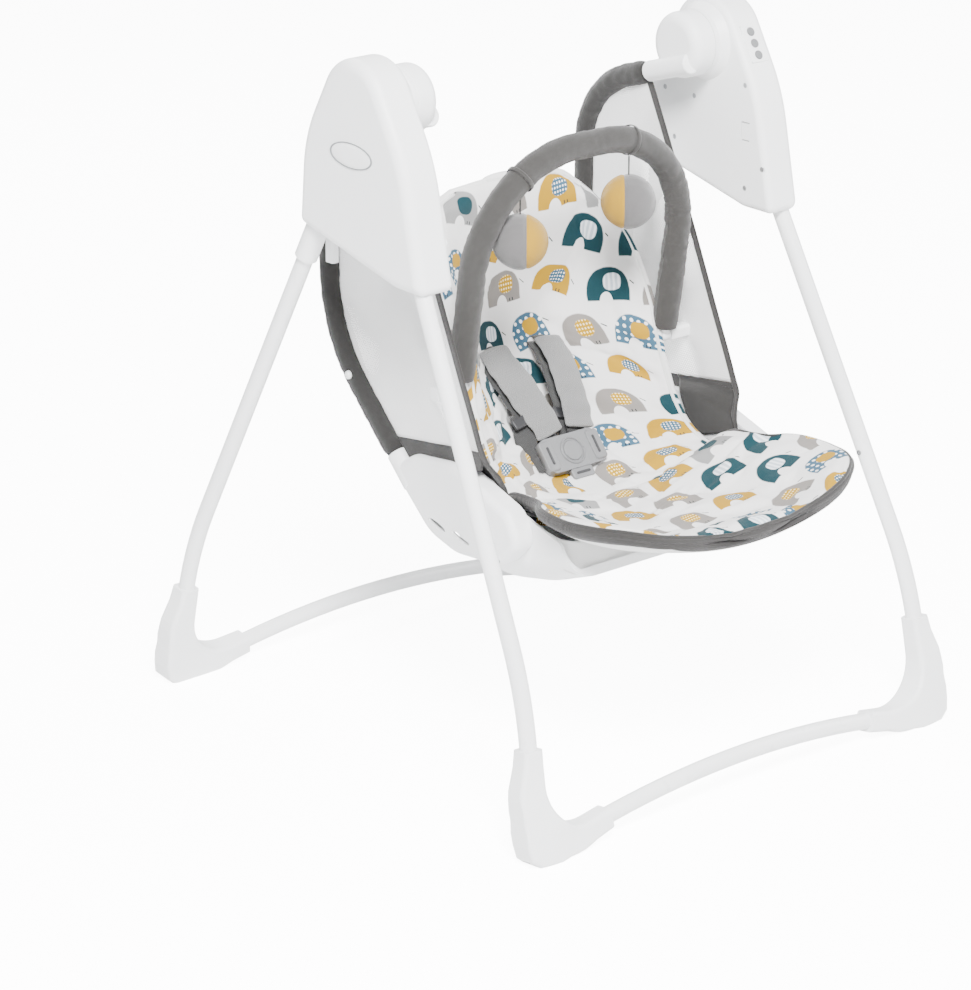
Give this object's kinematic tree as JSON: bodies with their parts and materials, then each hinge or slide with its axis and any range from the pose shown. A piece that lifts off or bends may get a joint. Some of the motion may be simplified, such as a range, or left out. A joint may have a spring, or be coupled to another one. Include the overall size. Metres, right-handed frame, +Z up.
{
  "type": "baby swing",
  "caption": "Folding baby swing: bent-tube A-frame with hub housings, swinging padded seat on D-shaped hanger tubes, harness and pivoting toy bar.",
  "frame": {"origin": "on the floor, midway between the four feet", "axes": "+Z up, -Y the front that the child faces, +X the right side as seen from the front"},
  "size_m": [0.638, 0.6944, 0.8019],
  "materials": {
    "white_steel": "smooth white powder coat",
    "white_plastic": "fine satin moulding",
    "grey_plastic": "satin",
    "buckle_grey": "satin",
    "bright_steel": "zinc plated",
    "nylon": "natural nylon",
    "cell_wrap": "printed sleeve, left plain",
    "board_green": "solder mask",
    "printed_fabric": "brushed woven cotton with an all-over print",
    "white_mesh": "open warp-knit mesh",
    "charcoal_fabric": "plain weave",
    "grey_fabric": "plain weave",
    "grey_webbing": "ribbed webbing",
    "woven_pad": "soft woven",
    "toy_velour": "short pile"
  },
  "bodies": {
    "root": {"housing_outer_left": "white_plastic", "housing_outer_right": "white_plastic", "housing_inner_left": "white_plastic", "housing_inner_right": "white_plastic", "front_leg_left": "white_steel", "front_leg_right": "white_steel", "front_foot_left": "white_plastic", "front_foot_right": "white_plastic", "front_base_tube": "white_steel", "housing_screws": "bright_steel", "hub_bushes": "nylon", "fold_pins": "bright_steel", "drive_motor": "bright_steel", "battery_cells": "cell_wrap", "circuit_board": "board_green", "control_panel": "white_plastic"},
    "battery_door": {"battery_door": "white_plastic"},
    "drive_gear": {"drive_gear": "nylon"},
    "motor_pinion": {"motor_pinion": "nylon"},
    "power_button": {"power_button": "grey_plastic"},
    "speed_button": {"speed_button": "grey_plastic"},
    "music_button": {"music_button": "grey_plastic"},
    "fold_latch_left": {"fold_latch_left": "white_plastic"},
    "fold_latch_right": {"fold_latch_right": "white_plastic"},
    "snap_button_left": {"snap_button_left": "grey_plastic"},
    "snap_button_right": {"snap_button_right": "grey_plastic"},
    "rear_frame": {"rear_leg_left": "white_steel", "rear_leg_right": "white_steel", "rear_bracket_left": "white_plastic", "rear_bracket_right": "white_plastic", "rear_foot_left": "white_plastic", "rear_foot_right": "white_plastic", "rear_base_tube": "white_steel"},
    "seat": {"hub_cap_left": "white_plastic", "hub_cap_right": "white_plastic", "hanger_tube_left": "white_steel", "hanger_tube_right": "white_steel", "hanger_sleeve_left": "charcoal_fabric", "hanger_sleeve_right": "charcoal_fabric", "base_cover_left": "white_plastic", "base_cover_right": "white_plastic", "side_panel_left": "white_mesh", "side_panel_right": "white_mesh", "shoulder_strap_left": "grey_webbing", "shoulder_strap_right": "grey_webbing", "hub_shafts": "bright_steel", "swing_lever": "nylon", "seat_base": "white_plastic", "back_pad": "printed_fabric", "seat_pad": "printed_fabric", "seat_sling": "white_mesh", "strap_pads": "woven_pad", "crotch_strap": "grey_webbing", "buckle_body": "buckle_grey", "toy_bar_sockets": "white_plastic"},
    "toy_bar": {"toy_bar_core": "white_plastic", "toy_bar_sleeve": "grey_fabric"},
    "toy_ball_left": {"toy_ball_left": "toy_velour"},
    "toy_ball_right": {"toy_ball_right": "toy_velour"},
    "buckle_button": {"buckle_button": "buckle_grey"}
  },
  "joints": [
    {"name": "seat_swing", "type": "hinge", "parent": "root", "child": "seat", "pos_m": [0, 0, 0.749], "axis": [1, 0, 0], "range_deg": [-18, 18]},
    {"name": "rear_fold", "type": "hinge", "parent": "root", "child": "rear_frame", "pos_m": [0.2593, 0.0705, 0.625], "axis": [-1, 0, 0], "range_deg": [0, 44]},
    {"name": "toy_bar_pivot", "type": "hinge", "parent": "seat", "child": "toy_bar", "pos_m": [0, -0.02755, 0.42019], "axis": [1, 0, 0], "range_deg": [-20, 25]},
    {"name": "toy_ball_left_swing", "type": "hinge", "parent": "toy_bar", "child": "toy_ball_left", "pos_m": [-0.097, -0.06392, 0.65509], "axis": [1, 0, 0], "range_deg": [-12, 12]},
    {"name": "toy_ball_right_swing", "type": "hinge", "parent": "toy_bar", "child": "toy_ball_right", "pos_m": [0.059, -0.06677, 0.67354], "axis": [1, 0, 0], "range_deg": [-12, 12]},
    {"name": "buckle_button_press", "type": "slide", "parent": "seat", "child": "buckle_button", "axis": [0, 0.766, -0.6428], "range_m": [0, 0.0012], "stiffness_N_per_m": 400},
    {"name": "power_button_press", "type": "slide", "parent": "root", "child": "power_button", "axis": [0, 0.866, -0.5], "range_m": [0, 0.0015], "stiffness_N_per_m": 300},
    {"name": "speed_button_press", "type": "slide", "parent": "root", "child": "speed_button", "axis": [0, 0.866, -0.5], "range_m": [0, 0.0015], "stiffness_N_per_m": 300},
    {"name": "music_button_press", "type": "slide", "parent": "root", "child": "music_button", "axis": [0, 0.866, -0.5], "range_m": [0, 0.0015], "stiffness_N_per_m": 300},
    {"name": "fold_latch_left_slide", "type": "slide", "parent": "root", "child": "fold_latch_left", "axis": [0, 0, 1], "range_m": [0, 0.008], "stiffness_N_per_m": 300},
    {"name": "fold_latch_right_slide", "type": "slide", "parent": "root", "child": "fold_latch_right", "axis": [0, 0, 1], "range_m": [0, 0.008], "stiffness_N_per_m": 300},
    {"name": "snap_button_left_press", "type": "slide", "parent": "root", "child": "snap_button_left", "axis": [-1, 0, 0], "range_m": [0, 0.002], "stiffness_N_per_m": 300},
    {"name": "snap_button_right_press", "type": "slide", "parent": "root", "child": "snap_button_right", "axis": [1, 0, 0], "range_m": [0, 0.002], "stiffness_N_per_m": 300},
    {"name": "battery_door_hinge", "type": "hinge", "parent": "root", "child": "battery_door", "pos_m": [0.2785, -0.039, 0.5995], "axis": [0, 1, 0], "range_deg": [0, 90]},
    {"name": "drive_gear_spin", "type": "hinge", "parent": "root", "child": "drive_gear", "pos_m": [0.254, 0.012, 0.69], "axis": [1, 0, 0], "continuous": true},
    {"name": "motor_pinion_spin", "type": "hinge", "parent": "root", "child": "motor_pinion", "pos_m": [0.254, 0.03625, 0.69], "axis": [1, 0, 0], "continuous": true}
  ],
  "couplings": [
    {"joint": "motor_pinion_spin", "follows": "drive_gear_spin", "ratio": -3}
  ]
}
